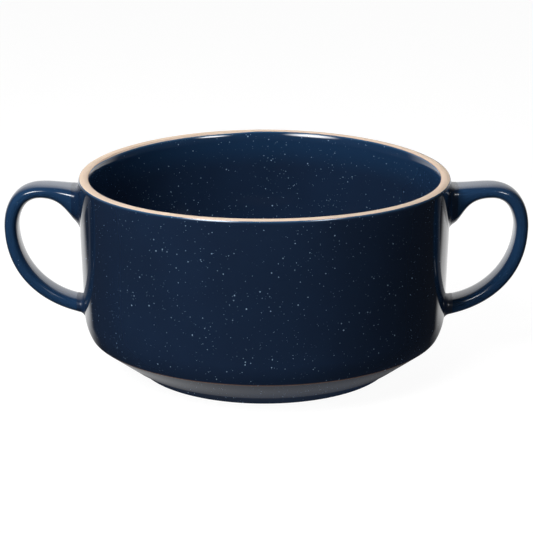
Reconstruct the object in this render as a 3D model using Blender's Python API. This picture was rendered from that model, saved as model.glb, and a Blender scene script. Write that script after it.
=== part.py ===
# Two-handled stoneware soup bowl: a turned body, two strap handles and the slip joints that hold them.
# Metres, +Z up. The origin is the centre of the foot on the table, and the handles lie along X.

from math import asin, cos, pi, radians, sin, tan

import bmesh
import bpy
from mathutils import Vector
from mathutils.geometry import interpolate_bezier

# Body, from the lip down
RIM_RADIUS = 0.0650
HEIGHT = 0.0696
LIP_WIDTH = 0.00465
CLAY_CROWN = 0.00034
OUTER_ROUND = 0.0020
OUTER_REACH = radians(37)
INNER_ROUND = 0.0060
INNER_REACH = radians(36)
UPRIGHT_FROM = 0.0450
WALL_LEAN = radians(1.6)
SHOULDER_HEIGHT = 0.0204
SHOULDER_RADIUS = 0.0177
SHOULDER_SWEEP = radians(25)
LEDGE_RADIUS = 0.0500
LEDGE_HEIGHT = 0.0039
LEDGE_ROUND = 0.0016

# Foot ring and the recess under the floor
FOOT_RADIUS = 0.0450
FOOT_WIDTH = 0.0042
FOOT_DRAFT = radians(6)
FOOT_ROUND = 0.0007
RECESS_HEIGHT = 0.0028
RECESS_ROUND = 0.0012

# Inside
INNER_LEAN = radians(1.6)
INNER_CORNER = 0.0160
FLOOR_HEIGHT = 0.0090

# Strap handle: its outer and inner edge in the XZ plane, from the upper joint round to the lower one.
# Each knot is x, z, heading in degrees, pull before the knot and pull after it.
# The strap narrows on the way down and spreads at both joints.
OUTER_EDGE = (
    (0.0630, 0.0647, 3, 0, 0.0052),
    (0.0787, 0.0656, 0, 0.0050, 0.0115),
    (0.0921, 0.0502, -90, 0.0054, 0.0177),
    (0.0625, 0.0179, -170, 0.0178, 0),
)
INNER_EDGE = (
    (0.0630, 0.0504, 11, 0, 0.0072),
    (0.0791, 0.0608, 0, 0.0109, 0.0067),
    (0.08715, 0.0501, -90, 0.0021, 0.0159),
    (0.0625, 0.0240, 180, 0.0116, 0),
)
UPPER_WIDTH = 0.0144
LOWER_WIDTH = 0.0118
UPPER_SPREAD = 0.0018
LOWER_SPREAD = 0.0008
EDGE_SQUARENESS = 2.6

# Slip joint: the band of fired slip between a handle's end and the wall
SLIP_THICKNESS = 0.0015
SLIP_FLARE = 0.0020
SEAT_GAP = 0.0003

# Facets
TURN_STEPS = 64
SECTION_POINTS = 20
EDGE_STEPS = 11
COLLAR_STEPS = 5
ARC_STEP = radians(16)
SMOOTH_ANGLE = radians(35)

BODY_GLAZE = (0.0080, 0.0165, 0.0370)
HANDLE_GLAZE = (0.0085, 0.0200, 0.0480)
SLIP_GLAZE = (0.0070, 0.0150, 0.0350)
BARE_CLAY = (0.7300, 0.5700, 0.4600)
GLAZE_ROUGHNESS = 0.12
CLAY_ROUGHNESS = 0.75


def principled(name, colour, roughness):
    material = bpy.data.materials.new(name)
    material.use_nodes = True
    shader = material.node_tree.nodes["Principled BSDF"]
    shader.inputs["Base Color"].default_value = (*colour, 1)
    shader.inputs["Roughness"].default_value = roughness
    shader.inputs["Metallic"].default_value = 0
    material.diffuse_color = (*colour, 1)
    return material


def arc(centre, radius, start, end):
    count = max(4, round(abs(end - start) / ARC_STEP))
    angles = [start + (end - start) * i / count for i in range(count + 1)]
    return [(centre[0] + radius * cos(a), centre[1] + radius * sin(a)) for a in angles]


def rounded_corner(before, corner, after, radius):
    """An arc that is tangent to both lines that meet at the corner."""
    before, corner, after = Vector(before), Vector(corner), Vector(after)
    back = (before - corner).normalized()
    on = (after - corner).normalized()
    half = back.angle(on) / 2
    centre = corner + (back + on).normalized() * radius / sin(half)
    first = corner + back * radius / tan(half) - centre
    last = corner + on * radius / tan(half) - centre
    start = Vector((1, 0)).angle_signed(first)
    turn = first.angle_signed(last)
    return arc(centre, radius, -start, -start - turn)


def lip():
    """The lip from the inside to the outside: two glazed corners and a low crown of bare clay between."""
    glaze_edge = HEIGHT - CLAY_CROWN
    inner_centre = (RIM_RADIUS - LIP_WIDTH + INNER_ROUND, glaze_edge - INNER_ROUND * sin(INNER_REACH))
    outer_centre = (RIM_RADIUS - OUTER_ROUND, glaze_edge - OUTER_ROUND * sin(OUTER_REACH))
    inner = arc(inner_centre, INNER_ROUND, pi - INNER_LEAN, pi - INNER_REACH)
    outer = arc(outer_centre, OUTER_ROUND, OUTER_REACH, 0)
    half = (outer[0][0] - inner[-1][0]) / 2
    crown_radius = (half**2 + CLAY_CROWN**2) / (2 * CLAY_CROWN)
    spread = asin(half / crown_radius)
    top = (inner[-1][0] + half, HEIGHT - crown_radius)
    crown = arc(top, crown_radius, pi / 2 + spread, pi / 2 - spread)
    return inner + crown[1:-1] + outer


def outer_wall(offset=0):
    """The wall, upright at the lip and leaning in below, and the shoulder, moved outwards by an offset."""
    top = lip()[-1][1]
    sweep = (top - UPRIGHT_FROM) / sin(WALL_LEAN)
    wall = arc((RIM_RADIUS - sweep, top), sweep + offset, 0, -WALL_LEAN)
    wall_end = RIM_RADIUS - sweep * (1 - cos(WALL_LEAN)) - tan(WALL_LEAN) * (UPRIGHT_FROM - SHOULDER_HEIGHT)
    centre = (wall_end - SHOULDER_RADIUS * cos(WALL_LEAN), SHOULDER_HEIGHT + SHOULDER_RADIUS * sin(WALL_LEAN))
    return wall + arc(centre, SHOULDER_RADIUS + offset, -WALL_LEAN, -WALL_LEAN - SHOULDER_SWEEP)


def inner_wall():
    """The inside from the centre of the floor up to the lip."""
    wall_top = lip()[0]
    corner_height = FLOOR_HEIGHT + INNER_CORNER
    drop = wall_top[1] - (corner_height - INNER_CORNER * sin(INNER_LEAN))
    corner_radius = wall_top[0] - drop * tan(INNER_LEAN) - INNER_CORNER * cos(INNER_LEAN)
    corner = arc((corner_radius, corner_height), INNER_CORNER, -pi / 2, -INNER_LEAN)
    return [(0, FLOOR_HEIGHT)] + corner


def foot(crease):
    """The stacking cone, its ledge, the foot ring and the recess inside the ring."""
    ledge = (LEDGE_RADIUS, LEDGE_HEIGHT)
    ring_top = (FOOT_RADIUS + LEDGE_HEIGHT * tan(FOOT_DRAFT), LEDGE_HEIGHT)
    ring_outside = (FOOT_RADIUS, 0)
    ring_inside = (FOOT_RADIUS - FOOT_WIDTH, 0)
    recess_edge = (ring_inside[0] - RECESS_HEIGHT * tan(FOOT_DRAFT), RECESS_HEIGHT)
    recess_centre = (0, RECESS_HEIGHT)
    return (
        rounded_corner(crease, ledge, ring_top, LEDGE_ROUND)
        + rounded_corner(ledge, ring_top, ring_outside, FOOT_ROUND)
        + rounded_corner(ring_top, ring_outside, ring_inside, FOOT_ROUND)
        + rounded_corner(ring_outside, ring_inside, recess_edge, FOOT_ROUND)
        + rounded_corner(ring_inside, recess_edge, recess_centre, RECESS_ROUND)
        + [recess_centre]
    )


def mesh_object(name, shape, materials):
    """Closes the shape, turns its faces outwards and puts it in the scene."""
    bmesh.ops.remove_doubles(shape, verts=shape.verts, dist=1e-6)
    bmesh.ops.recalc_face_normals(shape, faces=shape.faces)
    mesh = bpy.data.meshes.new(name)
    shape.to_mesh(mesh)
    shape.free()
    for material in materials:
        mesh.materials.append(material)
    mesh.shade_smooth()
    mesh.set_sharp_from_angle(angle=SMOOTH_ANGLE)
    return place(name, mesh)


def place(name, mesh, turn=0):
    obj = bpy.data.objects.new(name, mesh)
    obj.rotation_euler.z = turn
    bpy.context.scene.collection.objects.link(obj)
    return obj


def turned(name, profile, materials):
    """A solid turned about Z from a profile that starts and ends on the axis."""
    shape = bmesh.new()
    points = [shape.verts.new((r, 0, z)) for r, z in profile]
    edges = [shape.edges.new(pair) for pair in zip(points, points[1:])]
    bmesh.ops.spin(
        shape,
        geom=points + edges,
        cent=(0, 0, 0),
        axis=(0, 0, 1),
        angle=2 * pi,
        steps=TURN_STEPS,
        use_merge=True,
    )
    return mesh_object(name, shape, materials)


def wall_cutter(name, offset):
    """A turned block whose side lies a set distance outside the bowl's wall."""
    wall = outer_wall(offset)
    profile = [(0, HEIGHT), (wall[0][0], HEIGHT)] + wall + [(0, wall[-1][1])]
    cutter = turned(name, profile, [])
    cutter.hide_render = True
    cutter.display_type = "WIRE"
    return cutter


def edge_points(knots):
    """Points along an edge of the strap, with the same number between each pair of knots."""
    points = []
    for start, end in zip(knots, knots[1:]):
        a, b = Vector((start[0], 0, start[1])), Vector((end[0], 0, end[1]))
        leave = Vector((cos(radians(start[2])), 0, sin(radians(start[2])))) * start[4]
        arrive = Vector((cos(radians(end[2])), 0, sin(radians(end[2])))) * end[3]
        points += interpolate_bezier(a, a + leave, b - arrive, b, EDGE_STEPS)[bool(points):]
    return points


def section(outer, inner, width, margin=0):
    """A soft-edged rectangle across the strap, grown on all sides by a margin."""
    centre = (outer + inner) / 2
    across = (outer - inner).normalized() * ((outer - inner).length / 2 + margin)
    along = Vector((0, width / 2 + margin, 0))
    ring = []
    for i in range(SECTION_POINTS):
        angle = 2 * pi * i / SECTION_POINTS
        u, v = (abs(t) ** (2 / EDGE_SQUARENESS) * (1 if t > 0 else -1) for t in (cos(angle), sin(angle)))
        ring.append(centre + along * u + across * v)
    return ring


def loft(name, rings, materials):
    shape = bmesh.new()
    rows = [[shape.verts.new(point) for point in ring] for ring in rings]
    for row, following in zip(rows, rows[1:]):
        for i in range(SECTION_POINTS):
            j = (i + 1) % SECTION_POINTS
            shape.faces.new((row[i], row[j], following[j], following[i]))
    shape.faces.new(rows[0])
    shape.faces.new(rows[-1])
    return mesh_object(name, shape, materials)


def cut(obj, name, operation, tool):
    boolean = obj.modifiers.new(name, "BOOLEAN")
    boolean.operation = operation
    boolean.object = tool


def strap_stations():
    """Outer point, inner point and width of each section of the strap."""
    outer, inner = edge_points(OUTER_EDGE), edge_points(INNER_EDGE)
    stations = []
    for i, (a, b) in enumerate(zip(outer, inner)):
        along = i / (EDGE_STEPS - 1)
        plain = UPPER_WIDTH + (LOWER_WIDTH - UPPER_WIDTH) * along / 3
        spread = UPPER_SPREAD * max(0, 1 - along) ** 2 + LOWER_SPREAD * max(0, along - 2) ** 4
        stations.append((a, b, plain + spread))
    return stations


def bowl_body(glaze, clay):
    wall = outer_wall()
    body = turned("bowl_body", inner_wall() + lip() + wall[1:] + foot(wall[-1]), [glaze, clay])
    for face in body.data.polygons:
        on_lip = face.center.z > HEIGHT - CLAY_CROWN
        on_foot = face.normal.z < -0.99 and face.center.z < FOOT_ROUND
        face.material_index = 1 if on_lip or on_foot else 0
    return body


def strap_handle(name, glaze):
    return loft(name, [section(*station) for station in strap_stations()], [glaze])


def slip_joint(name, stations, glaze):
    """A collar that starts flush with the strap and flares out onto the wall."""
    rings = []
    for i, station in enumerate(stations):
        onto_wall = 1 - i / (len(stations) - 1)
        rings.append(section(*station, margin=SLIP_FLARE * onto_wall**2))
    return loft(name, rings, [glaze])


def build():
    for obj in list(bpy.data.objects):
        bpy.data.objects.remove(obj)

    body_glaze = principled("navy glaze on the body", BODY_GLAZE, GLAZE_ROUGHNESS)
    handle_glaze = principled("navy glaze on the handles", HANDLE_GLAZE, GLAZE_ROUGHNESS)
    slip_glaze = principled("navy glaze on the slip joints", SLIP_GLAZE, GLAZE_ROUGHNESS)
    clay = principled("bare stoneware", BARE_CLAY, CLAY_ROUGHNESS)

    bowl_body(body_glaze, clay)
    slip_inside = wall_cutter("slip_inside_cutter", SEAT_GAP)
    slip_outside = wall_cutter("slip_outside_cutter", SEAT_GAP + SLIP_THICKNESS)
    handle_seat = wall_cutter("handle_seat_cutter", SLIP_THICKNESS + 2 * SEAT_GAP)

    stations = strap_stations()
    right = [
        (strap_handle("right_handle", handle_glaze), [("seat", "DIFFERENCE", handle_seat)]),
    ]
    ends = {"upper": stations[:COLLAR_STEPS], "lower": stations[: -COLLAR_STEPS - 1 : -1]}
    for end, end_stations in ends.items():
        joint = slip_joint(f"right_{end}_slip_joint", end_stations, slip_glaze)
        right.append((joint, [("outside", "INTERSECT", slip_outside), ("wall", "DIFFERENCE", slip_inside)]))

    # The left side is the right side turned half round, from the same meshes.
    for piece, cuts in right:
        twin = place(piece.name.replace("right", "left"), piece.data, turn=pi)
        for obj in (piece, twin):
            for name, operation, tool in cuts:
                cut(obj, name, operation, tool)


build()
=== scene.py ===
from math import asin, atan2, cos, hypot, pi, radians, sin, tan

import bmesh
import bpy
from mathutils import Matrix, Vector
from mathutils.geometry import interpolate_bezier


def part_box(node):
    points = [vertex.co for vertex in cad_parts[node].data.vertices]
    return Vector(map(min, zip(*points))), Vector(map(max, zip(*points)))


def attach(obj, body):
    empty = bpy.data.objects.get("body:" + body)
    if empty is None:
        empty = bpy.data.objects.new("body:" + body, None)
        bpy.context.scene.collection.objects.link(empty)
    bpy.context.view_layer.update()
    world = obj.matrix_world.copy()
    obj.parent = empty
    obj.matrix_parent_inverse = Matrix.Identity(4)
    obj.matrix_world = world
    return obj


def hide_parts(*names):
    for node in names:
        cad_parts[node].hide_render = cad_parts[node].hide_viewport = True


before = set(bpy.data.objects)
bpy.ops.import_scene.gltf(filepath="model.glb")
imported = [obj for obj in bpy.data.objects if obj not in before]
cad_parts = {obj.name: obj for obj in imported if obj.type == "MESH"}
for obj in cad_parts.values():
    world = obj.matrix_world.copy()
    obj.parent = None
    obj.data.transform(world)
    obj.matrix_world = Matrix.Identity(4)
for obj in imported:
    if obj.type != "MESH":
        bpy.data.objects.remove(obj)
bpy.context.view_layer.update()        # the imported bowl, which stays where it is

scene = bpy.context.scene
scene.view_settings.view_transform = "Standard"
mm = 0.001
weldGap = 0.001 * mm     # points closer than this become one
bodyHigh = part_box("bowl_body")[1]
print("frame loaded:", ", ".join(sorted(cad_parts)))


def toLinear(hexColour):
    parts = [int(hexColour[i:i + 2], 16) / 255 for i in (1, 3, 5)]
    return tuple(c / 12.92 if c <= 0.04045 else ((c + 0.055) / 1.055) ** 2.4 for c in parts) + (1,)


# a value that is a socket is linked, any other is set
def addNode(tree, kind, inputs=None, **settings):
    node = tree.nodes.new(kind)
    for name, value in settings.items():
        setattr(node, name, value)
    for socket, value in (inputs or {}).items():
        if isinstance(value, bpy.types.NodeSocket):
            tree.links.new(value, node.inputs[socket])
        else:
            node.inputs[socket].default_value = value
    return node


# an empty node tree for a material, a lamp or the world
def freshTree(owner):
    owner.use_nodes = True
    owner.node_tree.nodes.clear()
    return owner.node_tree


def addObject(name, data):
    obj = bpy.data.objects.new(name, data)
    scene.collection.objects.link(obj)
    return obj


def newMaterial(name):
    material = bpy.data.materials.new(name)
    tree = freshTree(material)
    shader = addNode(tree, "ShaderNodeBsdfPrincipled")
    addNode(tree, "ShaderNodeOutputMaterial", {"Surface": shader.outputs["BSDF"]})
    return material, tree, shader


# Navy glaze: a wet-looking coat over stoneware, with pale flecks of many sizes and the faintest ripple.
# On the body it runs thin and bluer at the lip, where one stretch was wiped lower, and breaks brown over
# the sharp crease. Down the upper inside it has painted light: lighter and bluer towards the lip.
def navyGlaze(name, look):
    material, tree, shader = newMaterial(name)
    place = addNode(tree, "ShaderNodeTexCoord").outputs["Object"]

    cloud = addNode(tree, "ShaderNodeTexNoise", {"Vector": place, "Scale": 1 / look["cloudSize"], "Detail": 3})
    colour = addNode(tree, "ShaderNodeMix", {
        0: cloud.outputs["Fac"], 6: toLinear(look["deep"]), 7: toLinear(look["light"]),
    }, data_type="RGBA").outputs[2]

    if "thin" in look:
        thrown = addNode(tree, "ShaderNodeAttribute", attribute_name="thrownHeight").outputs["Fac"]
        along = addNode(tree, "ShaderNodeVectorMath", {0: place, 1: look["wipeWay"]}, operation="DOT_PRODUCT")
        wipe = addNode(tree, "ShaderNodeMapRange", {
            "Value": along.outputs["Value"], "From Min": look["wipeFrom"], "From Max": look["wipeTo"],
            "To Max": look["wipeDrop"],
        }, interpolation_type="SMOOTHSTEP").outputs["Result"]
        edge = addNode(tree, "ShaderNodeMath", {0: thrown, 1: wipe}, operation="ADD").outputs[0]
        thin = addNode(tree, "ShaderNodeMapRange", {
            "Value": edge, "From Min": look["thinFrom"], "From Max": look["thinTo"],
        }, interpolation_type="SMOOTHSTEP").outputs["Result"]
        flat = addNode(tree, "ShaderNodeVectorMath", {0: place, 1: (1, 1, 0)}, operation="MULTIPLY").outputs[0]
        radius = addNode(tree, "ShaderNodeVectorMath", {0: flat}, operation="LENGTH").outputs["Value"]
        # painted light: lighter and bluer towards the lip, on the inside alone
        inside = addNode(tree, "ShaderNodeMath", {0: radius, 1: look["paintedLightInside"]},
                         operation="LESS_THAN").outputs[0]
        paintedLightShare = addNode(tree, "ShaderNodeMath", {0: inside, 1: look["paintedLightMost"]}, operation="MULTIPLY").outputs[0]
        pale = addNode(tree, "ShaderNodeMapRange", {
            "Value": thrown, "From Min": look["paintedLightFrom"], "From Max": look["paintedLightTo"], "To Max": paintedLightShare,
        }, interpolation_type="SMOOTHSTEP").outputs["Result"]
        # brown at the height of the crease, on the outside alone
        above = addNode(tree, "ShaderNodeMath", {0: thrown, 1: look["breakAt"]}, operation="SUBTRACT").outputs[0]
        away = addNode(tree, "ShaderNodeMath", {0: above}, operation="ABSOLUTE").outputs[0]
        outside = addNode(tree, "ShaderNodeMath", {0: radius, 1: look["breakOutside"]},
                          operation="GREATER_THAN").outputs[0]
        worn = addNode(tree, "ShaderNodeMath", {0: outside, 1: look["breakShare"]}, operation="MULTIPLY").outputs[0]
        broken = addNode(tree, "ShaderNodeMapRange", {
            "Value": away, "From Min": look["breakHalf"], "From Max": 0, "To Max": worn,
        }, interpolation_type="SMOOTHSTEP").outputs["Result"]
        for share, tint in ((pale, "pale"), (thin, "thin"), (broken, "breaks")):
            colour = addNode(tree, "ShaderNodeMix", {
                0: share, 6: colour, 7: toLinear(look[tint]),
            }, data_type="RGBA").outputs[2]
        bare = addNode(tree, "ShaderNodeMapRange", {
            "Value": edge, "From Min": look["bareFrom"], "From Max": look["bareTo"],
        }).outputs["Result"]

    # flecks lie thick in some places and thin in others
    crowd = addNode(tree, "ShaderNodeTexNoise", {"Vector": place, "Scale": 1 / look["crowdSize"], "Detail": 2})
    crowding = addNode(tree, "ShaderNodeMapRange", {
        "Value": crowd.outputs["Fac"], "From Min": look["crowdFrom"], "From Max": look["crowdTo"],
        "To Min": look["crowdLeast"], "To Max": 1,
    }).outputs["Result"]
    for cell, least, most, faint, bright in look["flecks"]:
        seeds = addNode(tree, "ShaderNodeTexVoronoi", {"Vector": place, "Scale": 1 / cell, "Randomness": 1})
        chance = addNode(tree, "ShaderNodeSeparateColor", {"Color": seeds.outputs["Color"]})
        # few large flecks among many small ones
        skewed = addNode(tree, "ShaderNodeMath", {0: chance.outputs["Red"], 1: look["sizeSkew"]}, operation="POWER")
        radius = addNode(tree, "ShaderNodeMapRange", {
            "Value": skewed.outputs[0], "To Min": least / cell, "To Max": most / cell,
        })
        edge = addNode(tree, "ShaderNodeMath", {0: radius.outputs["Result"], 1: crowding}, operation="MULTIPLY")
        core = addNode(tree, "ShaderNodeMath", {0: edge.outputs[0], 1: look["fleckCore"]}, operation="MULTIPLY")
        spot = addNode(tree, "ShaderNodeMapRange", {
            "Value": seeds.outputs["Distance"], "From Min": edge.outputs[0], "From Max": core.outputs[0],
        }, interpolation_type="SMOOTHSTEP")
        strength = addNode(tree, "ShaderNodeMapRange", {
            "Value": chance.outputs["Green"], "To Min": faint, "To Max": bright,
        })
        share = addNode(tree, "ShaderNodeMath", {0: spot.outputs["Result"], 1: strength.outputs["Result"]},
                        operation="MULTIPLY")
        colour = addNode(tree, "ShaderNodeMix", {
            0: share.outputs[0], 6: colour, 7: toLinear(look["fleck"]),
        }, data_type="RGBA").outputs[2]

    gloss = addNode(tree, "ShaderNodeMapRange", {
        "Value": cloud.outputs["Fac"], "To Min": look["roughLow"], "To Max": look["roughHigh"],
    }).outputs["Result"]
    if "thin" in look:
        colour = addNode(tree, "ShaderNodeMix", {
            0: bare, 6: colour, 7: toLinear(look["bare"]),
        }, data_type="RGBA").outputs[2]
        gloss = addNode(tree, "ShaderNodeMix", {0: bare, 2: gloss, 3: look["bareRough"]}).outputs[0]
    ripple = addNode(tree, "ShaderNodeTexNoise", {"Vector": place, "Scale": 1 / look["rippleSize"], "Detail": 1})
    bump = addNode(tree, "ShaderNodeBump", {
        "Height": ripple.outputs["Fac"], "Strength": 1, "Distance": look["rippleDepth"],
    })
    tree.links.new(colour, shader.inputs["Base Color"])
    tree.links.new(gloss, shader.inputs["Roughness"])
    tree.links.new(bump.outputs["Normal"], shader.inputs["Normal"])
    shader.inputs["IOR"].default_value = look["ior"]
    return material


# Bare stoneware: fired sand-coloured clay, dry and matte, with fine grog and a few dark iron specks.
# Along the lip's inner edge, where it meets the glaze inside, the clay is darker and browner: painted shade.
def bareStoneware(name, look):
    material, tree, shader = newMaterial(name)
    place = addNode(tree, "ShaderNodeTexCoord").outputs["Object"]
    blush = addNode(tree, "ShaderNodeTexNoise", {"Vector": place, "Scale": 1 / look["blushSize"], "Detail": 2})
    colour = addNode(tree, "ShaderNodeMix", {
        0: blush.outputs["Fac"], 6: toLinear(look["sand"]), 7: toLinear(look["rose"]),
    }, data_type="RGBA").outputs[2]
    layers = []
    # painted shade: the lip darker and browner along its inner edge
    if "paintedEdgeShade" in look:
        flat = addNode(tree, "ShaderNodeVectorMath", {0: place, 1: (1, 1, 0)}, operation="MULTIPLY").outputs[0]
        radius = addNode(tree, "ShaderNodeVectorMath", {0: flat}, operation="LENGTH").outputs["Value"]
        paintedEdgeShadeShare = addNode(tree, "ShaderNodeMapRange", {
            "Value": radius, "From Min": look["edgeShadeFrom"], "From Max": look["edgeShadeTo"],
            "To Max": look["edgeShadeMost"],
        }, interpolation_type="SMOOTHSTEP").outputs["Result"]
        layers.append((paintedEdgeShadeShare, "paintedEdgeShade"))
    grog = addNode(tree, "ShaderNodeTexNoise", {"Vector": place, "Scale": 1 / look["grogSize"], "Detail": 4})
    grit = addNode(tree, "ShaderNodeMapRange", {
        "Value": grog.outputs["Fac"], "From Min": look["grogFrom"], "From Max": look["grogTo"],
        "To Max": look["grogShade"],
    }).outputs["Result"]
    iron = addNode(tree, "ShaderNodeTexVoronoi", {"Vector": place, "Scale": 1 / look["ironCell"], "Randomness": 1})
    rust = addNode(tree, "ShaderNodeMapRange", {
        "Value": iron.outputs["Distance"], "From Min": look["ironRadius"] / look["ironCell"],
        "From Max": look["ironCore"] * look["ironRadius"] / look["ironCell"], "To Max": look["ironShade"],
    }).outputs["Result"]
    for share, tint in layers + [(grit, "shade"), (rust, "iron")]:
        colour = addNode(tree, "ShaderNodeMix", {
            0: share, 6: colour, 7: toLinear(look[tint]),
        }, data_type="RGBA").outputs[2]
    bump = addNode(tree, "ShaderNodeBump", {
        "Height": grog.outputs["Fac"], "Strength": 1, "Distance": look["grogDepth"],
    })
    tree.links.new(colour, shader.inputs["Base Color"])
    tree.links.new(bump.outputs["Normal"], shader.inputs["Normal"])
    shader.inputs["Roughness"].default_value = look["roughness"]
    return material


glazeLook = {
    "deep": "#172439", "light": "#1b2d47", "cloudSize": 22 * mm,
    "fleck": "#a8cae9", "crowdSize": 9 * mm, "crowdFrom": 0.36, "crowdTo": 0.52, "crowdLeast": 0.6,
    # cell, least and most radius, least and most brightness
    "flecks": ((1.1 * mm, 0.08 * mm, 0.15 * mm, 0.2, 0.7), (1.65 * mm, 0.13 * mm, 0.23 * mm, 0.35, 1),
               (2.9 * mm, 0.2 * mm, 0.34 * mm, 0.6, 1)),
    "sizeSkew": 1.5, "fleckCore": 0.45,
    "roughLow": 0.05, "roughHigh": 0.1, "ior": 1.55,
    "rippleSize": 5 * mm, "rippleDepth": 0.004 * mm,
}
bodyGlazeLook = dict(
    glazeLook, thin="#3a658c", thinFrom=68.5 * mm, thinTo=69.3 * mm,
    # painted light on the upper inside wall, lighter and bluer towards the lip
    pale="#1b3554", paintedLightFrom=55 * mm, paintedLightTo=65 * mm, paintedLightMost=0.85, paintedLightInside=61.8 * mm,
    breaks="#8a6a58", breakAt=12.95 * mm, breakHalf=0.45 * mm, breakShare=0.8, breakOutside=58 * mm,
    wipeWay=(cos(radians(130)), sin(radians(130)), 0), wipeFrom=47 * mm, wipeTo=56 * mm, wipeDrop=0.42 * mm,
    bare="#ecd5c0", bareFrom=69.2 * mm, bareTo=69.26 * mm, bareRough=0.78,
)
handleGlazeLook = dict(
    glazeLook, deep="#1b3554", light="#203e60", cloudSize=12 * mm, crowdSize=7 * mm,
    flecks=((1.3 * mm, 0.08 * mm, 0.15 * mm, 0.1, 0.4), (2.6 * mm, 0.12 * mm, 0.22 * mm, 0.2, 0.8)),
)
# the glaze over the slip is darker, which is painted shade at the joints; it dried thinner there, most of all at
# the lower joints, and is rougher
upperSlipShadedLook = dict(handleGlazeLook, deep="#132642", light="#172e4b", roughLow=0.2, roughHigh=0.28)
lowerSlipShadedLook = dict(upperSlipShadedLook, roughLow=0.34, roughHigh=0.42)
clayLook = {
    "sand": "#f0dac4", "rose": "#ead0b9", "blushSize": 14 * mm,
    "grogSize": 0.5 * mm, "grogFrom": 0.3, "grogTo": 0.7, "grogShade": 0.25, "grogDepth": 0.02 * mm,
    "shade": "#cbae97",
    "iron": "#7c5a44", "ironCell": 3.5 * mm, "ironRadius": 0.2 * mm, "ironCore": 0.4, "ironShade": 0.6,
    "roughness": 0.78,
}
# the lip's clay has painted shade along its inner edge
lipClayLook = dict(clayLook, paintedEdgeShade="#b98660", edgeShadeFrom=61.9 * mm, edgeShadeTo=61.5 * mm, edgeShadeMost=0.7)
bodyGlaze = navyGlaze("speckled navy glaze", bodyGlazeLook)
handleGlaze = navyGlaze("navy glaze on pressed handles", handleGlazeLook)
# the slips carry painted shade: a darker copy of the handles' glaze
slipGlaze = {
    "upper": navyGlaze("navy glaze over slip", upperSlipShadedLook),
    "lower": navyGlaze("thin navy glaze over slip", lowerSlipShadedLook),
}
lipClay = bareStoneware("bare stoneware of the lip", lipClayLook)
footClay = bareStoneware("bare stoneware of the foot", clayLook)
print("materials ready")


# Outlines are lists of (radius, height)
def arc(centre, radius, start, end, step=radians(4), fewest=4):
    count = max(fewest, round(abs(end - start) / step))
    angles = [start + (end - start) * i / count for i in range(count + 1)]
    return [(centre[0] + radius * cos(a), centre[1] + radius * sin(a)) for a in angles]


def roundedCorner(before, corner, after, radius):
    before, corner, after = Vector(before), Vector(corner), Vector(after)
    back, on = (before - corner).normalized(), (after - corner).normalized()
    half = back.angle(on) / 2
    centre = corner + (back + on).normalized() * radius / sin(half)
    first = corner + back * radius / tan(half) - centre
    last = corner + on * radius / tan(half) - centre
    start = atan2(first.y, first.x)
    turn = atan2(first.x * last.y - first.y * last.x, first.dot(last))
    return arc(centre, radius, start, start + turn)


def between(a, b, count):
    return [(a[0] + (b[0] - a[0]) * i / count, a[1] + (b[1] - a[1]) * i / count) for i in range(1, count)]


def polyline(name, points):
    mesh = bpy.data.meshes.new(name)
    mesh.from_pydata(points, [(i, i + 1) for i in range(len(points) - 1)], [])
    return addObject(name, mesh)


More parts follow.
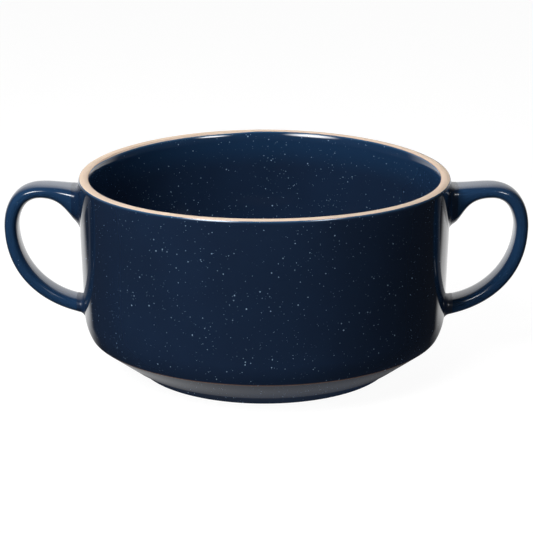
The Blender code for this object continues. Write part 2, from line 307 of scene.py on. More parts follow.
# Turns an outline about Z. The rim dips a little towards the handles, as it did in the kiln.
def turnedTree():
    tree = bpy.data.node_groups.new("turned on the wheel", "GeometryNodeTree")
    sockets = (("Outline", "Geometry"), ("Outline Points", "Int"), ("Steps Round", "Int"), ("Rim Dip", "Float"),
               ("Dip Heading", "Float"), ("Rim Tilt", "Float"), ("Dip From", "Float"), ("Dip To", "Float"),
               ("Finish", "Material"))
    for name, kind in sockets:
        tree.interface.new_socket(name, in_out="INPUT", socket_type="NodeSocket" + kind)
    tree.interface.new_socket("Turned", in_out="OUTPUT", socket_type="NodeSocketGeometry")
    given = addNode(tree, "NodeGroupInput").outputs

    index = addNode(tree, "GeometryNodeInputIndex").outputs[0]
    ring = addNode(tree, "ShaderNodeMath", {0: given["Steps Round"], 1: 1}, operation="ADD").outputs[0]
    grid = addNode(tree, "GeometryNodeMeshGrid", {"Vertices X": given["Outline Points"], "Vertices Y": ring})
    ratio = addNode(tree, "ShaderNodeMath", {0: index, 1: ring}, operation="DIVIDE").outputs[0]
    row = addNode(tree, "ShaderNodeMath", {0: ratio}, operation="FLOOR").outputs[0]
    column = addNode(tree, "ShaderNodeMath", {0: index, 1: ring}, operation="MODULO").outputs[0]
    part = addNode(tree, "ShaderNodeMath", {0: column, 1: given["Steps Round"]}, operation="DIVIDE").outputs[0]
    angle = addNode(tree, "ShaderNodeMath", {0: part, 1: 2 * pi}, operation="MULTIPLY").outputs[0]

    where = addNode(tree, "GeometryNodeInputPosition").outputs[0]
    point = addNode(tree, "GeometryNodeSampleIndex", {
        "Geometry": given["Outline"], "Value": where, "Index": row,
    }, data_type="FLOAT_VECTOR", domain="POINT").outputs[0]
    spun = addNode(tree, "ShaderNodeVectorRotate", {"Vector": point, "Angle": angle}, rotation_type="Z_AXIS")
    placed = addNode(tree, "GeometryNodeSetPosition", {
        "Geometry": grid.outputs["Mesh"], "Position": spun.outputs[0],
    })
    closed = addNode(tree, "GeometryNodeMergeByDistance", {"Geometry": placed.outputs[0], "Distance": weldGap})

    # the glaze follows the height that a point had on the wheel
    apart = addNode(tree, "ShaderNodeSeparateXYZ", {"Vector": where})
    kept = addNode(tree, "GeometryNodeStoreNamedAttribute", {
        "Geometry": closed.outputs[0], "Name": "thrownHeight", "Value": apart.outputs["Z"],
    }, data_type="FLOAT", domain="POINT")

    # lowest near the handles, and a little higher at the back than at the front
    heading = addNode(tree, "ShaderNodeMath", {0: apart.outputs["Y"], 1: apart.outputs["X"]}, operation="ARCTAN2")
    turned = addNode(tree, "ShaderNodeMath", {0: heading.outputs[0], 1: given["Dip Heading"]}, operation="SUBTRACT")
    double = addNode(tree, "ShaderNodeMath", {0: turned.outputs[0], 1: 2}, operation="MULTIPLY")
    wave = addNode(tree, "ShaderNodeMath", {0: double.outputs[0]}, operation="COSINE")
    rock = addNode(tree, "ShaderNodeMath", {0: heading.outputs[0]}, operation="SINE")
    dip = addNode(tree, "ShaderNodeMath", {0: wave.outputs[0], 1: given["Rim Dip"]}, operation="MULTIPLY")
    tilt = addNode(tree, "ShaderNodeMath", {0: rock.outputs[0], 1: given["Rim Tilt"]}, operation="MULTIPLY")
    warp = addNode(tree, "ShaderNodeMath", {0: tilt.outputs[0], 1: dip.outputs[0]}, operation="SUBTRACT")
    high = addNode(tree, "ShaderNodeMapRange", {
        "Value": apart.outputs["Z"], "From Min": given["Dip From"], "From Max": given["Dip To"],
    }, interpolation_type="SMOOTHSTEP")
    drop = addNode(tree, "ShaderNodeMath", {0: warp.outputs[0], 1: high.outputs["Result"]}, operation="MULTIPLY")
    lift = addNode(tree, "ShaderNodeCombineXYZ", {"Z": drop.outputs[0]})
    dipped = addNode(tree, "GeometryNodeSetPosition", {"Geometry": kept.outputs[0], "Offset": lift.outputs[0]})

    real = addNode(tree, "GeometryNodeRealizeInstances", {"Geometry": dipped.outputs[0]})
    done = addNode(tree, "GeometryNodeSetMaterial", {"Geometry": real.outputs[0], "Material": given["Finish"]})
    addNode(tree, "NodeGroupOutput", {0: done.outputs[0]})
    return tree


def runTree(obj, tree, values):
    modifier = obj.modifiers.new(tree.name, "NODES")
    modifier.node_group = tree
    identifiers = {s.name: s.identifier for s in tree.interface.items_tree if s.in_out == "INPUT"}
    for name, value in values.items():
        modifier[identifiers[name]] = value
    graph = bpy.context.evaluated_depsgraph_get()
    mesh = bpy.data.meshes.new_from_object(obj.evaluated_get(graph), depsgraph=graph)
    obj.modifiers.clear()
    obj.data = mesh


def finishMesh(obj, smoothAngle):
    mesh = obj.data
    shape = bmesh.new()
    shape.from_mesh(mesh)
    bmesh.ops.recalc_face_normals(shape, faces=shape.faces)
    shape.to_mesh(mesh)
    shape.free()
    mesh.shade_smooth()
    mesh.set_sharp_from_angle(angle=smoothAngle)
    print("made", obj.name, len(mesh.polygons), "faces")
    return obj


wheel = turnedTree()


def turn(name, outline, finish, look):
    obj = polyline(name, [(r, 0, z) for r, z in outline])
    runTree(obj, wheel, {
        "Outline Points": len(outline), "Steps Round": look["stepsRound"],
        "Rim Dip": look["rimDip"], "Dip Heading": look["dipHeading"], "Rim Tilt": look["rimTilt"],
        "Dip From": look["dipFrom"], "Dip To": look["height"], "Finish": finish,
    })
    return finishMesh(obj, look["smoothAngle"])


bowl = {
    "rimRadius": bodyHigh.x, "height": bodyHigh.z - 0.08 * mm,      # the rim's mean height, before it dips
    "stepsRound": 240, "floorSteps": 12, "innerSteps": 12, "bendSteps": 12, "outerSteps": 8, "recessSteps": 10,
    "soleSteps": 3, "creaseCut": 4, "crownStep": radians(2), "smoothAngle": radians(24),
    "lipWidth": 4.65 * mm, "outerRound": 2.0 * mm, "innerRound": 6.0 * mm,
    # the glaze climbs this far round the lip's corners and stands a little proud of the clay between them
    "outerReach": radians(37), "innerReach": radians(36),
    "clayCrown": 0.34 * mm, "glazeStep": 0.04 * mm, "glazeDepth": 0.3 * mm,
    "rimDip": 0.54 * mm, "dipHeading": radians(3), "rimTilt": 0.3 * mm, "dipFrom": 22 * mm,
    "wallLean": radians(1.6), "uprightFrom": 45 * mm, "innerLean": radians(1.6),
    "shoulderHeight": 20.4 * mm, "shoulderRadius": 17.7 * mm, "shoulderSweep": radians(25),
    "creaseRound": 0.5 * mm,
    "ledgeRadius": 50.0 * mm, "ledgeHeight": 3.9 * mm, "ledgeRound": 1.6 * mm,
    "footRadius": 45.0 * mm, "footWidth": 4.2 * mm, "footDraft": radians(6), "footRound": 0.7 * mm,
    "glazeStop": 0.2 * mm, "footInset": 0.3 * mm, "toeRound": 0.35 * mm,
    "recessHeight": 2.8 * mm, "recessRound": 1.2 * mm,
    "innerCorner": 16.0 * mm, "floorHeight": 9.0 * mm,
}


# centre of the round on one corner of the lip
def lipCorner(side):
    bend = bowl[side + "Round"]
    radius = bowl["rimRadius"] - (bend if side == "outer" else bowl["lipWidth"] - bend)
    return radius, bowl["height"] - bowl["clayCrown"] - bend * sin(bowl[side + "Reach"])


# from upright at the lip, down a wall that leans in a little more and more
def wallArc():
    top = lipCorner("outer")[1]
    radius = (top - bowl["uprightFrom"]) / sin(bowl["wallLean"])
    step = bowl["wallLean"] / bowl["bendSteps"]
    return arc((bowl["rimRadius"] - radius, top), radius, 0, -bowl["wallLean"], step)


def shoulderArc(step=radians(1)):
    wall = wallArc()[-1]
    wallEnd = wall[0] - tan(bowl["wallLean"]) * (wall[1] - bowl["shoulderHeight"])
    centre = (wallEnd - bowl["shoulderRadius"] * cos(bowl["wallLean"]),
              bowl["shoulderHeight"] + bowl["shoulderRadius"] * sin(bowl["wallLean"]))
    return arc(centre, bowl["shoulderRadius"], -bowl["wallLean"], -bowl["wallLean"] - bowl["shoulderSweep"], step)


def glazedOutline():
    depth = bowl["glazeDepth"]

    # inside, from the centre of the floor up to where the glaze stops at the lip
    innerTop = arc(lipCorner("inner"), bowl["innerRound"], pi - bowl["innerLean"], pi - bowl["innerReach"])
    cornerHeight = bowl["floorHeight"] + bowl["innerCorner"]
    drop = innerTop[0][1] - (cornerHeight - bowl["innerCorner"] * sin(bowl["innerLean"]))
    cornerRadius = innerTop[0][0] - drop * tan(bowl["innerLean"]) - bowl["innerCorner"] * cos(bowl["innerLean"])
    corner = arc((cornerRadius, cornerHeight), bowl["innerCorner"], -pi / 2, -bowl["innerLean"])
    floor = [(0, bowl["floorHeight"])] + between((0, bowl["floorHeight"]), corner[0], bowl["floorSteps"])
    innerWall = between(corner[-1], innerTop[0], bowl["innerSteps"])

    # outside, from the lip down over the shoulder and the cone to the ledge
    outerTop = arc(lipCorner("outer"), bowl["outerRound"], bowl["outerReach"], 0)
    underClay = [(innerTop[-1][0] + depth, innerTop[-1][1] - depth),
                 (outerTop[0][0] - depth, outerTop[0][1] - depth)]
    wall, shoulder = wallArc(), shoulderArc()
    outerWall = wall[1:] + between(wall[-1], shoulder[0], bowl["outerSteps"])
    ledge = (bowl["ledgeRadius"], bowl["ledgeHeight"])
    # the shoulder's last few points give way to the rounded crease
    cut = bowl["creaseCut"]
    crease = roundedCorner(shoulder[-cut], shoulder[-1], ledge, bowl["creaseRound"])
    shoulder = [p for p in shoulder[:-cut] if p[1] > crease[0][1]]

    # the foot ring, glazed down to the stop line, and the glazed recess inside it
    ringTop = (bowl["footRadius"] + bowl["ledgeHeight"] * tan(bowl["footDraft"]), bowl["ledgeHeight"])
    stop, inset = bowl["glazeStop"], 2 * bowl["footInset"]
    ringStop = (bowl["footRadius"] + stop * tan(bowl["footDraft"]), stop)
    innerStop = (bowl["footRadius"] - bowl["footWidth"] - stop * tan(bowl["footDraft"]), stop)
    recessEdge = (bowl["footRadius"] - bowl["footWidth"] - bowl["recessHeight"] * tan(bowl["footDraft"]),
                  bowl["recessHeight"])
    recess = roundedCorner(innerStop, recessEdge, (0, bowl["recessHeight"]), bowl["recessRound"])
    under = (
        roundedCorner(crease[-1], ledge, ringTop, bowl["ledgeRound"])
        + roundedCorner(ledge, ringTop, ringStop, bowl["footRound"])
        + [ringStop, (ringStop[0] - inset, stop), (innerStop[0] + inset, stop), innerStop]
        + recess + between(recess[-1], (0, bowl["recessHeight"]), bowl["recessSteps"])
        + [(0, bowl["recessHeight"])]
    )
    return floor + corner + innerWall + innerTop + underClay + outerTop + outerWall + shoulder + crease + under


# a low crown of clay between the two edges of the glaze
def lipOutline():
    inner = lipCorner("inner")[0] - bowl["innerRound"] * cos(bowl["innerReach"])
    outer = lipCorner("outer")[0] + bowl["outerRound"] * cos(bowl["outerReach"])
    half, rise = (outer - inner) / 2, bowl["clayCrown"] + bowl["glazeStep"]
    radius = (half ** 2 + rise ** 2) / (2 * rise)
    spread = asin(half / radius)
    centre = ((inner + outer) / 2, bowl["height"] - radius)
    crown = arc(centre, radius, pi / 2 + spread, pi / 2 - spread, bowl["crownStep"])
    sunk = bowl["height"] - rise - 2 * bowl["glazeDepth"]
    ring = [(inner, sunk)] + crown + [(outer, sunk)]
    return ring + ring[:1]


def footOutline():
    inset, toe = bowl["footInset"], bowl["toeRound"]
    draft = tan(bowl["footDraft"])
    sunk = 2 * bowl["glazeStop"]
    outTop, outLow = (bowl["footRadius"] + sunk * draft - inset, sunk), (bowl["footRadius"] - inset, 0)
    inLow = (bowl["footRadius"] - bowl["footWidth"] + inset, 0)
    inTop = (inLow[0] - sunk * draft, sunk)
    ring = ([outTop] + roundedCorner(outTop, outLow, inLow, toe)
            + between(outLow, inLow, bowl["soleSteps"]) + roundedCorner(outLow, inLow, inTop, toe) + [inTop])
    return ring + ring[:1]


glazedBowl = turn("glazed_bowl", glazedOutline(), bodyGlaze, bowl)
bareLip = turn("bare_lip", lipOutline(), lipClay, bowl)
bareFoot = turn("bare_foot", footOutline(), footClay, bowl)
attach(glazedBowl, "root")
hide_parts("bowl_body")
for piece in (bareLip, bareFoot):
    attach(piece, "root")


strap = {
    # outer and inner edge: x, z, heading, pull before and pull after each knot, from the upper joint round
    "outerEdge": ((78.7, 65.6, 0, 5.0, 11.5), (92.1, 50.2, -90, 5.4, 17.7), (62.5, 17.9, -170, 17.8, 0)),
    "innerEdge": ((87.15, 50.1, -90, 2.1, 15.9), (62.5, 24.0, 180, 11.6, 0)),
    # it narrows on the way down, and spreads at both joints
    "upperWidth": 14.4 * mm, "lowerWidth": 11.8 * mm, "lowerSpread": 0.3 * mm, "spreadFrom": 0.8,
    "upperEase": 2, "lowerEase": 4,
    # towards the upper joint its outer face flattens, its inner face rounds off and its widest line climbs
    "squareness": 2.6, "outerFlat": 1.3, "innerSoft": 0.6, "climb": 0.2, "climbFrom": 1.15,
    "edgeSteps": 48, "sectionPoints": 72, "smoothAngle": radians(60),
}
# made by hand, each handle starts its own way, and the right one stands further out and sags more
hands = {
    "right": {
        "outerStart": ((63.0, 64.95, -2, 0, 5.2),),
        "innerStart": ((63.0, 50.4, 0, 0, 7.2), (79.1, 60.8, 0, 12.7, 6.7)),
        "upperSpread": 1.8 * mm, "reach": 0.65 * mm, "sag": 0.35 * mm,
    },
    "left": {
        "outerStart": ((63.0, 63.9, 9, 0, 5.2),),
        "innerStart": ((63.0, 49.8, 11, 0, 6.6), (79.1, 60.8, 0, 10.2, 6.7)),
        "upperSpread": 6.2 * mm, "reach": -0.6 * mm, "sag": -0.25 * mm,
    },
}


def edgePoints(knots):
    points = []
    for start, end in zip(knots, knots[1:]):
        a, b = Vector((start[0], 0, start[1])), Vector((end[0], 0, end[1]))
        leave = Vector((cos(radians(start[2])), 0, sin(radians(start[2])))) * start[4]
        arrive = Vector((cos(radians(end[2])), 0, sin(radians(end[2])))) * end[3]
        points += interpolate_bezier(a, a + leave, b - arrive, b, strap["edgeSteps"])[bool(points):]
    return [p * mm for p in points]


# both edges, the widest line, the width and the squareness of both faces, all along
def strapStations(side):
    hand = hands[side]
    outer, inner = [edgePoints(hand[edge + "Start"] + strap[edge + "Edge"]) for edge in ("outer", "inner")]
    reach = Vector((hand["reach"], 0, 0))
    stations = []
    for i, (a, b) in enumerate(zip(outer, inner)):
        third = 3 * i / (len(outer) - 1)      # each edge has three stretches
        joint = max(0, 1 - third / strap["climbFrom"])
        a, b = a + reach, b + reach
        a.z -= hand["sag"] * max(0, third - 1) / 2
        stations.append({
            "outer": a, "inner": b, "middle": a + (b - a) * (0.5 - strap["climb"] * joint),
            "width": strap["upperWidth"] + (strap["lowerWidth"] - strap["upperWidth"]) * third / 3
            + hand["upperSpread"] * max(0, 1 - third / strap["spreadFrom"]) ** strap["upperEase"]
            + strap["lowerSpread"] * max(0, third - 2) ** strap["lowerEase"],
            "outerSquare": strap["squareness"] + strap["outerFlat"] * joint,
            "innerSquare": strap["squareness"] - strap["innerSoft"] * joint,
        })
    return stations


# A soft-edged strap about its widest line, out to the two edges and to a side line.
# Where the lines meet, at both ends, it closes flat.
def strapTree():
    tree = bpy.data.node_groups.new("strap about four lines", "GeometryNodeTree")
    sockets = (("Middle", "Geometry"), ("Outer", "Object"), ("Inner", "Object"), ("Side", "Object"),
               ("Stations", "Int"), ("Section Points", "Int"), ("Finish", "Material"))
    for name, kind in sockets:
        tree.interface.new_socket(name, in_out="INPUT", socket_type="NodeSocket" + kind)
    tree.interface.new_socket("Strap", in_out="OUTPUT", socket_type="NodeSocketGeometry")
    given = addNode(tree, "NodeGroupInput").outputs

    index = addNode(tree, "GeometryNodeInputIndex").outputs[0]
    where = addNode(tree, "GeometryNodeInputPosition").outputs[0]
    ring = addNode(tree, "ShaderNodeMath", {0: given["Section Points"], 1: 1}, operation="ADD").outputs[0]
    grid = addNode(tree, "GeometryNodeMeshGrid", {"Vertices X": given["Stations"], "Vertices Y": ring})
    ratio = addNode(tree, "ShaderNodeMath", {0: index, 1: ring}, operation="DIVIDE").outputs[0]
    station = addNode(tree, "ShaderNodeMath", {0: ratio}, operation="FLOOR").outputs[0]
    column = addNode(tree, "ShaderNodeMath", {0: index, 1: ring}, operation="MODULO").outputs[0]
    part = addNode(tree, "ShaderNodeMath", {0: column, 1: given["Section Points"]}, operation="DIVIDE").outputs[0]
    angle = addNode(tree, "ShaderNodeMath", {0: part, 1: 2 * pi}, operation="MULTIPLY").outputs[0]

    # the points of the four lines at this station
    outer, inner, side = [
        addNode(tree, "GeometryNodeObjectInfo", {"Object": given[line]}).outputs["Geometry"]
        for line in ("Outer", "Inner", "Side")
    ]
    middle, outward, inward, sideward = [
        addNode(tree, "GeometryNodeSampleIndex", {"Geometry": line, "Value": where, "Index": station},
                data_type="FLOAT_VECTOR", domain="POINT").outputs[0]
        for line in (given["Middle"], outer, inner, side)
    ]
    flat, soft = [
        addNode(tree, "GeometryNodeSampleIndex", {
            "Geometry": given["Middle"], "Index": station,
            "Value": addNode(tree, "GeometryNodeInputNamedAttribute", {"Name": name}, data_type="FLOAT").outputs[0],
        }, data_type="FLOAT", domain="POINT").outputs[0]
        for name in ("outerSquare", "innerSquare")
    ]

    # superellipse in two halves: squareness 2 is an oval, higher is boxier
    cosine, sine = [
        addNode(tree, "ShaderNodeMath", {0: angle}, operation=wave).outputs[0] for wave in ("COSINE", "SINE")
    ]
    half = addNode(tree, "ShaderNodeMath", {0: sine, 1: 0}, operation="GREATER_THAN").outputs[0]
    square = addNode(tree, "ShaderNodeMix", {0: half, 2: soft, 3: flat}, data_type="FLOAT").outputs[0]
    power = addNode(tree, "ShaderNodeMath", {0: 2, 1: square}, operation="DIVIDE").outputs[0]
    sideArm, outerArm, innerArm = [
        addNode(tree, "ShaderNodeVectorMath", {0: a, 1: b}, operation="SUBTRACT").outputs[0]
        for a, b in ((sideward, middle), (outward, middle), (middle, inward))
    ]
    edgeArm = addNode(tree, "ShaderNodeMix", {0: half, 4: innerArm, 5: outerArm}, data_type="VECTOR").outputs[1]
    point = middle
    for value, arm in ((cosine, sideArm), (sine, edgeArm)):
        sign = addNode(tree, "ShaderNodeMath", {0: value}, operation="SIGN").outputs[0]
        size = addNode(tree, "ShaderNodeMath", {0: value}, operation="ABSOLUTE").outputs[0]
        eased = addNode(tree, "ShaderNodeMath", {0: size, 1: power}, operation="POWER").outputs[0]
        share = addNode(tree, "ShaderNodeMath", {0: eased, 1: sign}, operation="MULTIPLY").outputs[0]
        step = addNode(tree, "ShaderNodeVectorMath", {0: arm, "Scale": share}, operation="SCALE").outputs[0]
        point = addNode(tree, "ShaderNodeVectorMath", {0: point, 1: step}, operation="ADD").outputs[0]

    placed = addNode(tree, "GeometryNodeSetPosition", {"Geometry": grid.outputs["Mesh"], "Position": point})
    closed = addNode(tree, "GeometryNodeMergeByDistance", {"Geometry": placed.outputs[0], "Distance": weldGap})
    real = addNode(tree, "GeometryNodeRealizeInstances", {"Geometry": closed.outputs[0]})
    done = addNode(tree, "GeometryNodeSetMaterial", {"Geometry": real.outputs[0], "Material": given["Finish"]})
    addNode(tree, "NodeGroupOutput", {0: done.outputs[0]})
    return tree


strapAbout = strapTree()
halfTurn = Matrix.Rotation(pi, 4, "Z")


def makeHandle(side):
    stations = strapStations(side)
    stations = stations[:1] + stations + stations[-1:]
    lines = {name: [s[name] for s in stations] for name in ("middle", "outer", "inner")}
    lines["flank"] = [s["middle"] + Vector((0, s["width"] / 2, 0)) for s in stations]
    for line in lines.values():
        line[0], line[-1] = lines["middle"][0], lines["middle"][-1]
    handle = polyline(side + "_strap_handle", lines.pop("middle"))
    for name in ("outerSquare", "innerSquare"):
        values = handle.data.attributes.new(name, "FLOAT", "POINT")
        values.data.foreach_set("value", [s[name] for s in stations])
    outer, inner, flank = [polyline(f"{side}_{name}", line) for name, line in lines.items()]
    runTree(handle, strapAbout, {
        "Outer": outer, "Inner": inner, "Side": flank, "Stations": len(stations),
        "Section Points": strap["sectionPoints"], "Finish": handleGlaze,
    })
    for line in (outer, inner, flank):
        bpy.data.objects.remove(line)
    if side == "left":
        handle.data.transform(halfTurn)
    finishMesh(handle, strap["smoothAngle"])
    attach(handle, "root")
    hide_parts(side + "_handle")


# Fillet of slip that carries a handle's end onto the wall, with a soft seam where it starts on the strap
slip = {
    "seamAt": 3.0 * mm, "seamWidth": 0.8 * mm, "seamRise": 0.03 * mm, "filletRadius": 1.7 * mm,
    # shares of the seam's width where it comes out of the strap, where it levels and where the fillet may start,
    # and the share of its rise that stays
    "seamOut": 0.35, "seamLevel": 0.7, "filletFrom": 1.4, "levelRise": 0.5,
    "sunk": 0.12 * mm, "filletSteps": 12, "wallStep": radians(0.5), "smoothAngle": radians(60),
}


def wallRadius(height):
    outline = wallArc() + shoulderArc(slip["wallStep"])
    if height >= outline[0][1]:
        return outline[0][0]
    for above, below in zip(outline, outline[1:]):
        if height >= below[1]:
            part = (above[1] - height) / (above[1] - below[1])
            return above[0] + (below[0] - above[0]) * part
    return outline[-1][0]


def sectionPoint(station, angle, margin):
    face = "outer" if sin(angle) > 0 else "inner"
    across = station[face] - station["middle"]
    across *= 1 + margin / across.length
    along = Vector((0, station["width"] / 2 + margin, 0))
    u, v = (abs(t) ** (2 / station[face + "Square"]) for t in (cos(angle), sin(angle)))
    return station["middle"] + along * (u if cos(angle) > 0 else -u) + across * v


# the strap's stations near one joint, from the wall out
def endStations(side, end):
    stations, count = strapStations(side), strap["edgeSteps"]
    return stations[:count] if end == "upper" else stations[:-count - 1:-1]


def pointAtGap(stations, angle, margin, gap):
    before = None
    for station in stations:
        p = sectionPoint(station, angle, margin)
        clear = hypot(p.x, p.y) - wallRadius(p.z)
        if clear >= gap:
            if before is None:
                return p + Vector((gap - clear, 0, 0))
            q, earlier = before
            return q + (p - q) * ((gap - earlier) / (clear - earlier))
        before = (p, clear)
    return p


def makeSlip(side, end):
    stations = endStations(side, end)
    radius = slip["filletRadius"]
    rise, seam, width = slip["seamRise"], slip["seamAt"], slip["seamWidth"]
    level = slip["levelRise"] * rise
    # gap to the wall and margin on the strap for each ring, from the seam to the wall
    rings = [(seam, -rise), (seam - slip["seamOut"] * width, 0), (seam - slip["seamLevel"] * width, level),
             (seam - width, level)]
    turns = [pi / 2 * i / slip["filletSteps"] for i in range(slip["filletSteps"] + 1)]
    start = min(radius, seam - slip["filletFrom"] * width)
    rings += [(start * (1 - sin(a)), level + radius * (1 - cos(a))) for a in turns]
    rings.append((-slip["sunk"], level + radius))
    # its points stand where the strap's own do
    count = strap["sectionPoints"]
    angles = [2 * pi * i / count for i in range(count)]
    shape = bmesh.new()
    rows = [[shape.verts.new(pointAtGap(stations, a, margin, gap)) for a in angles] for gap, margin in rings]
    for row, following in zip(rows, rows[1:]):
        for i in range(count):
            j = (i + 1) % count
            shape.faces.new((row[i], row[j], following[j], following[i]))
    for row in (rows[0], rows[-1]):
        bmesh.ops.triangulate(shape, faces=[shape.faces.new(row)])
    name = f"{side}_{end}_slip"
    mesh = bpy.data.meshes.new(name)
    shape.to_mesh(mesh)
    shape.free()
    mesh.materials.append(slipGlaze[end])
    if side == "left":
        mesh.transform(halfTurn)
    obj = addObject(name, mesh)
    finishMesh(obj, slip["smoothAngle"])
    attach(obj, "root")
    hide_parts(f"{side}_{end}_slip_joint")


for side in ("right", "left"):
    makeHandle(side)
    for end in ("upper", "lower"):
        makeSlip(side, end)


# Studio: a dark room with white paper behind the bowl, a broad soft key at the front left and a small fill
# at the right. Each lamp is a pair, one for colour and one with soft edges that the glaze mirrors.
studio = {
    "sweep": 1.28, "sweepBack": 160 * mm, "sweepCentre": -10 * mm, "sweepInner": 50 * mm, "sweepOuter": 250 * mm,
    "sweepLow": 165 * mm, "sweepHigh": 300 * mm, "room": 0.04,
    "floorRadius": 1.6, "floorSides": 96, "floorWhite": 0.95, "floorShade": 0.12,
    # what the glaze mirrors: white table that fans out behind, dim table close under the bowl, dark elsewhere
    "fanWhite": 1.0, "fanSide": 64 * mm, "fanFront": -27 * mm, "fanDrift": 0.08,
    "fanInner": 0.5, "fanOuter": 0.77, "fanLeft": 0.9, "fanRight": 0.38,
    "fanDimFrom": 70 * mm, "fanDimTo": 110 * mm,
    "fadeFrom": -10 * mm, "fadeTo": 45 * mm,
    "lampMiddle": (0.5, 0.5, 0), "lampRim": 0.5, "lampCore": 0.12,
    "nearInner": 46 * mm, "nearOuter": 64 * mm, "nearLeft": 0.52, "nearRight": 0.12, "nearReach": 50 * mm,
    "contactFrom": 44 * mm, "contactTo": 50.5 * mm, "farFloor": 0.02,
    "bounceNear": 0.9, "bounce": 0.14, "bounceFrom": 55 * mm, "bounceTo": 80 * mm,
}
lamps = {
    # heading from the front towards +X, elevation, distance, width, height, watts, and what it reaches.
    # A glint stands nearer than its lamp, which would hide it.
    "key": (-37, 42, 0.9, 0.49, 0.44, 8.8, "colour"),
    "key glint": (-37, 42, 0.88, 0.6, 0.43, 14.5, "gloss"),
    "fill": (40, 38, 1.0, 0.22, 0.2, 0.6, "colour"),
    "fill glint": (40, 38, 0.9, 0.4, 0.21, 5.0, "gloss"),
}


def makeWorld():
    world = bpy.data.worlds.new("dark room")
    scene.world = world
    tree = freshTree(world)
    around = addNode(tree, "ShaderNodeBackground", {"Color": (1, 1, 1, 1), "Strength": studio["room"]})
    white = addNode(tree, "ShaderNodeBackground", {"Color": (1, 1, 1, 1), "Strength": 1})
    seen = addNode(tree, "ShaderNodeLightPath").outputs["Is Camera Ray"]
    mix = addNode(tree, "ShaderNodeMixShader", {0: seen, 1: around.outputs[0], 2: white.outputs[0]})
    addNode(tree, "ShaderNodeOutputWorld", {"Surface": mix.outputs[0]})


# the camera looks past the sweep, which the glaze mirrors
def makeSweep():
    left, right = studio["sweepCentre"] - studio["sweepOuter"], studio["sweepCentre"] + studio["sweepOuter"]
    corners = [(left, 0), (right, 0), (right, studio["sweepHigh"]), (left, studio["sweepHigh"])]
    mesh = bpy.data.meshes.new("sweep")
    mesh.from_pydata([(x, studio["sweepBack"], z) for x, z in corners], [], [(0, 1, 2, 3)])
    sweep = addObject("sweep", mesh)
    sweep.visible_camera = sweep.visible_shadow = False

    material = bpy.data.materials.new("white paper sweep")
    tree = freshTree(material)
    place = addNode(tree, "ShaderNodeTexCoord").outputs["Object"]
    apart = addNode(tree, "ShaderNodeSeparateXYZ", {"Vector": place})
    off = addNode(tree, "ShaderNodeMath", {0: apart.outputs["X"], 1: studio["sweepCentre"]}, operation="SUBTRACT")
    aside = addNode(tree, "ShaderNodeMath", {0: off.outputs[0]}, operation="ABSOLUTE")
    wide = addNode(tree, "ShaderNodeMapRange", {
        "Value": aside.outputs[0], "From Min": studio["sweepOuter"], "From Max": studio["sweepInner"],
    }, interpolation_type="SMOOTHSTEP")
    tall = addNode(tree, "ShaderNodeMapRange", {
        "Value": apart.outputs["Z"], "From Min": studio["sweepHigh"], "From Max": studio["sweepLow"],
    }, interpolation_type="SMOOTHSTEP")
    sheet = addNode(tree, "ShaderNodeMath", {0: wide.outputs["Result"], 1: tall.outputs["Result"]},
                    operation="MULTIPLY")
    strength = addNode(tree, "ShaderNodeMapRange", {
        "Value": sheet.outputs[0], "To Min": studio["room"], "To Max": studio["sweep"],
    })
    glow = addNode(tree, "ShaderNodeEmission", {"Color": (1, 1, 1, 1), "Strength": strength.outputs["Result"]})
    addNode(tree, "ShaderNodeOutputMaterial", {"Surface": glow.outputs[0]})
    mesh.materials.append(material)


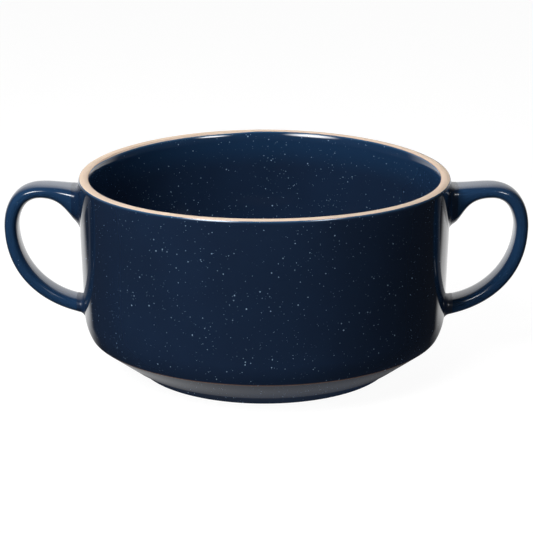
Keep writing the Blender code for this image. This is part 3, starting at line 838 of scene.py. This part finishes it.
def makeFloor():
    shape = bmesh.new()
    bmesh.ops.create_circle(shape, cap_ends=True, segments=studio["floorSides"], radius=studio["floorRadius"])
    mesh = bpy.data.meshes.new("floor")
    shape.to_mesh(mesh)
    shape.free()
    floor = addObject("floor", mesh)

    material = bpy.data.materials.new("white table")
    tree = freshTree(material)
    place = addNode(tree, "ShaderNodeTexCoord").outputs["Object"]
    away = addNode(tree, "ShaderNodeVectorMath", {0: place}, operation="LENGTH").outputs["Value"]
    apart = addNode(tree, "ShaderNodeSeparateXYZ", {"Vector": place})
    # the fan widens with the distance behind its front line, and drifts to one side
    drift = addNode(tree, "ShaderNodeMath", {0: apart.outputs["Y"], 1: -studio["fanDrift"], 2: apart.outputs["X"]},
                    operation="MULTIPLY_ADD").outputs[0]
    aside = addNode(tree, "ShaderNodeMath", {0: drift}, operation="ABSOLUTE").outputs[0]
    beyond = addNode(tree, "ShaderNodeMath", {0: aside, 1: studio["fanSide"]}, operation="SUBTRACT").outputs[0]
    back = addNode(tree, "ShaderNodeMath", {0: apart.outputs["Y"], 1: studio["fanFront"]},
                   operation="SUBTRACT").outputs[0]
    slope = addNode(tree, "ShaderNodeMath", {0: beyond, 1: back}, operation="DIVIDE").outputs[0]
    within = addNode(tree, "ShaderNodeMapRange", {
        "Value": slope, "From Min": studio["fanOuter"], "From Max": studio["fanInner"],
        "To Max": studio["fanWhite"],
    }, interpolation_type="SMOOTHSTEP").outputs["Result"]
    behind = addNode(tree, "ShaderNodeMapRange", {
        "Value": apart.outputs["Y"], "From Min": studio["fadeFrom"], "From Max": studio["fadeTo"],
    }, interpolation_type="SMOOTHSTEP").outputs["Result"]
    # dimmer near the bowl, most on the right, where its shadow falls
    dimmed, dim = [
        addNode(tree, "ShaderNodeMapRange", {
            "Value": apart.outputs["X"], "From Min": -studio["nearReach"], "From Max": studio["nearReach"],
            "To Min": studio[zone + "Left"], "To Max": studio[zone + "Right"],
        }).outputs["Result"]
        for zone in ("fan", "near")
    ]
    clear = addNode(tree, "ShaderNodeMapRange", {
        "Value": away, "From Min": studio["fanDimFrom"], "From Max": studio["fanDimTo"], "To Min": dimmed,
    }).outputs["Result"]
    fan = addNode(tree, "ShaderNodeMath", {0: within, 1: clear}, operation="MULTIPLY").outputs[0]
    sheet = addNode(tree, "ShaderNodeMath", {0: fan, 1: behind}, operation="MULTIPLY").outputs[0]
    under = addNode(tree, "ShaderNodeMapRange", {
        "Value": away, "From Min": studio["nearOuter"], "From Max": studio["nearInner"], "To Max": dim,
    }, interpolation_type="SMOOTHSTEP").outputs["Result"]
    contact = addNode(tree, "ShaderNodeMapRange", {
        "Value": away, "From Min": studio["contactFrom"], "From Max": studio["contactTo"],
    }, interpolation_type="SMOOTHSTEP").outputs["Result"]
    shade = addNode(tree, "ShaderNodeMath", {0: under, 1: contact}, operation="MULTIPLY").outputs[0]
    brighter = addNode(tree, "ShaderNodeMath", {0: sheet, 1: shade}, operation="MAXIMUM").outputs[0]
    tone = addNode(tree, "ShaderNodeMath", {0: brighter, 1: studio["farFloor"]}, operation="MAXIMUM").outputs[0]
    mirrored = addNode(tree, "ShaderNodeEmission", {"Color": (1, 1, 1, 1), "Strength": tone})
    shaded = addNode(tree, "ShaderNodeBsdfDiffuse", {"Color": (studio["floorShade"],) * 3 + (1,)})
    glow = addNode(tree, "ShaderNodeEmission", {"Color": (1, 1, 1, 1), "Strength": studio["floorWhite"]})
    lit = addNode(tree, "ShaderNodeAddShader", {0: shaded.outputs[0], 1: glow.outputs[0]})
    lifted = addNode(tree, "ShaderNodeMapRange", {
        "Value": away, "From Min": studio["bounceFrom"], "From Max": studio["bounceTo"],
        "To Min": studio["bounceNear"], "To Max": studio["bounce"],
    }, interpolation_type="SMOOTHSTEP").outputs["Result"]
    bounce = addNode(tree, "ShaderNodeEmission", {"Color": (1, 1, 1, 1), "Strength": lifted})
    ray = addNode(tree, "ShaderNodeLightPath").outputs
    # mirrored by the glaze, lighting it from below, or seen by the camera
    unseen = addNode(tree, "ShaderNodeMixShader", {
        0: ray["Is Glossy Ray"], 1: bounce.outputs[0], 2: mirrored.outputs[0],
    })
    mix = addNode(tree, "ShaderNodeMixShader", {0: ray["Is Camera Ray"], 1: unseen.outputs[0], 2: lit.outputs[0]})
    addNode(tree, "ShaderNodeOutputMaterial", {"Surface": mix.outputs[0]})
    mesh.materials.append(material)


def makeLamp(name, heading, elevation, distance, width, height, watts, reaches):
    light = bpy.data.lights.new(name, "AREA")
    light.shape = "ELLIPSE"
    light.size, light.size_y, light.energy = width, height, watts
    if reaches == "gloss":
        tree = freshTree(light)
        place = addNode(tree, "ShaderNodeNewGeometry").outputs["Parametric"]
        off = addNode(tree, "ShaderNodeVectorMath", {0: place, 1: studio["lampMiddle"]}, operation="DISTANCE")
        soft = addNode(tree, "ShaderNodeMapRange", {
            "Value": off.outputs["Value"], "From Min": studio["lampRim"], "From Max": studio["lampCore"],
        }, interpolation_type="SMOOTHSTEP")
        glow = addNode(tree, "ShaderNodeEmission", {"Color": (1, 1, 1, 1), "Strength": soft.outputs["Result"]})
        addNode(tree, "ShaderNodeOutputLight", {"Surface": glow.outputs[0]})
    lamp = addObject(name, light)
    a, e = radians(heading), radians(elevation)
    way = Vector((sin(a) * cos(e), -cos(a) * cos(e), sin(e)))
    lamp.location = Vector((0, 0, bowl["height"] / 2)) + way * distance
    lamp.rotation_euler = way.to_track_quat("Z", "Y").to_euler()
    lamp.visible_diffuse, lamp.visible_glossy = reaches == "colour", reaches == "gloss"


makeWorld()
makeSweep()
makeFloor()
for name, settings in lamps.items():
    makeLamp(name, *settings)
print("studio lit")

view = {
    "place": Vector((0.66, -640.0, 228.9)) * mm, "down": radians(16.86),
    "lens": 127.25, "sensor": 36.0,
}
camera = addObject("camera", bpy.data.cameras.new("camera"))
camera.data.lens, camera.data.sensor_width = view["lens"], view["sensor"]
camera.location = view["place"]
camera.rotation_euler = (pi / 2 - view["down"], 0, 0)
scene.camera = camera
